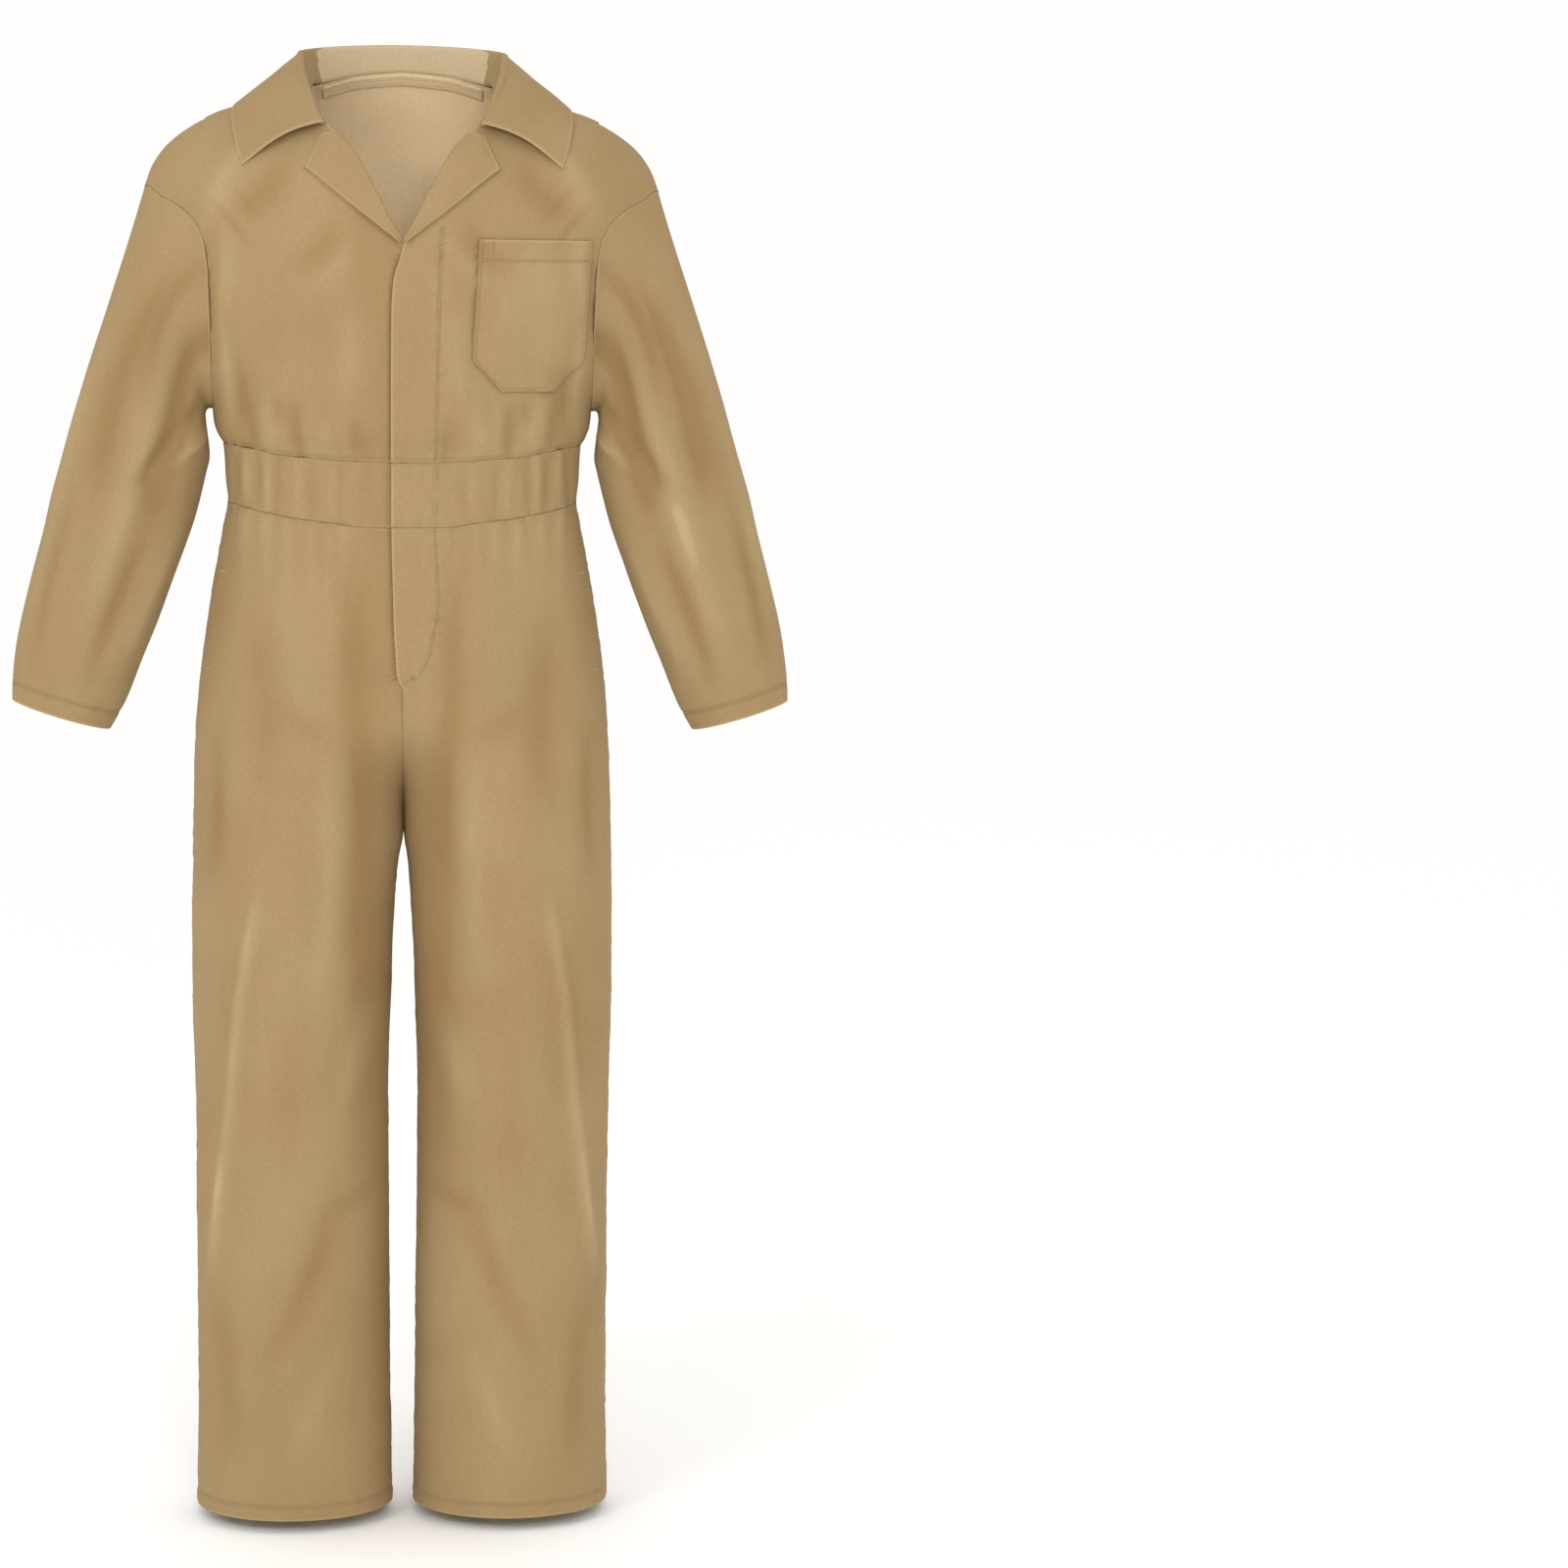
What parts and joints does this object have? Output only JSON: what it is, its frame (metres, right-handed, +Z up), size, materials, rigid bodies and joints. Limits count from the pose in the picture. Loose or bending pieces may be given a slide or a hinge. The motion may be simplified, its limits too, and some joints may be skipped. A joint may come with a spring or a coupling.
{
  "type": "boiler suit",
  "caption": "Long-sleeved cotton boiler suit, filled out and hollow, with a notched collar, covered front fly, waistband, elastic at the back waist and patch pockets.",
  "frame": {"origin": "on the suit's middle line, level with the base of the neck, midway between front and back", "axes": "+Z up from the hems to the collar, the front faces -Y, +X is the wearer's left"},
  "size_m": [0.7856, 0.242, 1.4943],
  "materials": {
    "cotton_cloth": "matt plain cotton weave, khaki, with tone-on-tone stitching",
    "cotton_tape": "matt woven cotton tape, khaki"
  },
  "bodies": {
    "root": {"bodice_front_left": "cotton_cloth", "bodice_front_right": "cotton_cloth", "bodice_back": "cotton_cloth", "bodice_back_side_left": "cotton_cloth", "bodice_back_side_right": "cotton_cloth", "sleeve_left": "cotton_cloth", "sleeve_right": "cotton_cloth", "waistband_front_left": "cotton_cloth", "waistband_front_right": "cotton_cloth", "waistband_back": "cotton_cloth", "waistband_elastic_left": "cotton_cloth", "waistband_elastic_right": "cotton_cloth", "trouser_front_left": "cotton_cloth", "trouser_front_right": "cotton_cloth", "trouser_back_left": "cotton_cloth", "trouser_back_right": "cotton_cloth", "chest_pocket": "cotton_cloth", "hip_pocket": "cotton_cloth", "lapel_left": "cotton_cloth", "lapel_right": "cotton_cloth", "collar": "cotton_cloth", "neck_tape": "cotton_tape"}
  },
  "joints": []
}
